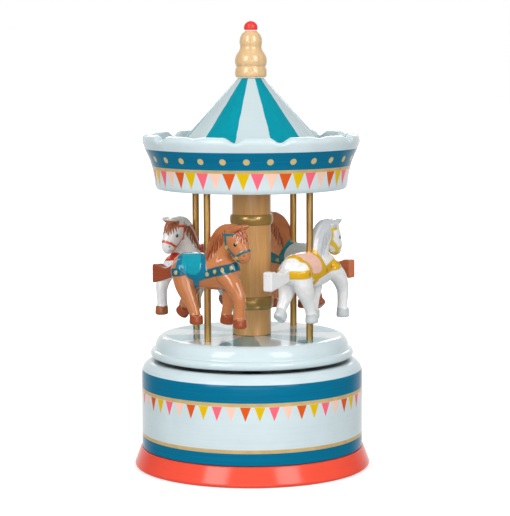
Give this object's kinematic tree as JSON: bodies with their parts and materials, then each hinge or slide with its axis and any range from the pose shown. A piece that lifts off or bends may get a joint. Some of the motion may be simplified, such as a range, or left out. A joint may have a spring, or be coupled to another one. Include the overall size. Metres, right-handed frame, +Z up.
{
  "type": "wind-up music box",
  "caption": "Wooden carousel music box: the turntable with its horses and canopy turns by hand to wind the spring and turns back while the cylinder and comb play.",
  "frame": {"origin": "centre of the base's underside, on the turntable's axis", "axes": "+Z up along the turntable's axis; the front, between the two front horses, looks along -Y"},
  "size_m": [0.1114, 0.1114, 0.209],
  "materials": {
    "red_paint": "coral-red gloss paint on turned beech",
    "drum_paint": "pale blue gloss paint with printed teal and gold bands and bunting",
    "table_paint": "pale blue high-gloss lacquer with teal segments on top",
    "canopy_paint": "pale blue gloss paint with a teal band, gold dots and bunting",
    "roof_paint": "gloss paint in pale blue and teal stripes",
    "column_wood": "golden-brown pearl lacquer, gilded beads",
    "light_wood": "clear-lacquered light hardwood",
    "pole_brass": "satin brass tube",
    "brown_horse_paint": "hand-painted gloss, chestnut with coloured harness",
    "white_horse_paint": "hand-painted gloss, white with coloured harness",
    "rust_paint": "hand-painted gloss, rust brown",
    "gear_brass": "machined brass",
    "steel": "nickel-plated steel",
    "spring_steel": "tempered blue-grey spring steel",
    "zinc": "raw zinc casting",
    "nylon": "white nylon",
    "fibreboard": "dark hardboard"
  },
  "bodies": {
    "base": {"base_ring": "red_paint", "drum_body": "drum_paint", "bottom_cover": "fibreboard", "cover_screw_1": "steel", "cover_screw_2": "steel", "cover_screw_3": "steel", "bedplate": "zinc", "movement_screw_1": "steel", "movement_screw_2": "steel", "movement_screw_3": "steel", "spring_housing": "zinc", "housing_pillar_1": "steel", "housing_pillar_2": "steel", "mainspring": "spring_steel", "comb": "spring_steel", "comb_block": "zinc", "comb_screw_1": "steel", "comb_screw_2": "steel", "cylinder_bracket_inner": "steel", "cylinder_bracket_outer": "steel", "bracket_screw_inner": "steel", "bracket_screw_outer": "steel", "governor_frame": "steel", "governor_screw": "steel"},
    "turntable": {"turntable": "table_paint", "hub_flange": "zinc", "hub_screw_1": "steel", "hub_screw_2": "steel", "hub_screw_3": "steel", "winding_shaft": "steel", "drive_gear": "gear_brass", "column": "column_wood", "canopy": "canopy_paint", "roof_cone": "roof_paint", "finial": "light_wood", "finial_ball": "red_paint", "pole_front_left": "pole_brass", "pole_front_right": "pole_brass", "pole_back_left": "pole_brass", "pole_back_right": "pole_brass", "horse_front_left": "brown_horse_paint", "horse_front_right": "white_horse_paint", "horse_back_left": "white_horse_paint", "horse_back_right": "brown_horse_paint", "tail_front_left": "rust_paint", "tail_front_right": "white_horse_paint", "tail_back_left": "rust_paint", "tail_back_right": "rust_paint"},
    "cylinder": {"cylinder": "gear_brass", "cylinder_arbor": "steel", "cylinder_pinion": "gear_brass"},
    "train": {"train_arbor": "steel", "train_pinion": "gear_brass", "train_wheel": "gear_brass"},
    "governor": {"governor_arbor": "steel", "governor_pinion": "gear_brass", "governor_wheel": "nylon"},
    "fly": {"fly_shaft": "steel", "fly_fan": "gear_brass"}
  },
  "joints": [
    {"name": "turntable_spin", "type": "hinge", "parent": "base", "child": "turntable", "pos_m": [0, 0, 0.05], "axis": [0, 0, 1], "continuous": true},
    {"name": "cylinder_spin", "type": "hinge", "parent": "base", "child": "cylinder", "pos_m": [-0.0245, 0, 0.03535], "axis": [1, 0, 0], "continuous": true},
    {"name": "train_spin", "type": "hinge", "parent": "base", "child": "train", "pos_m": [0.02, 0, 0.03535], "axis": [1, 0, 0], "continuous": true},
    {"name": "governor_spin", "type": "hinge", "parent": "base", "child": "governor", "pos_m": [0.024, 0.0076, 0.03285], "axis": [1, 0, 0], "continuous": true},
    {"name": "fly_spin", "type": "hinge", "parent": "base", "child": "fly", "pos_m": [0.027, 0.0151, 0.03], "axis": [0, 0, 1], "continuous": true}
  ],
  "couplings": [
    {"joint": "cylinder_spin", "follows": "turntable_spin", "ratio": 4},
    {"joint": "train_spin", "follows": "turntable_spin", "ratio": -4},
    {"joint": "governor_spin", "follows": "turntable_spin", "ratio": 12},
    {"joint": "fly_spin", "follows": "turntable_spin", "ratio": -144}
  ]
}
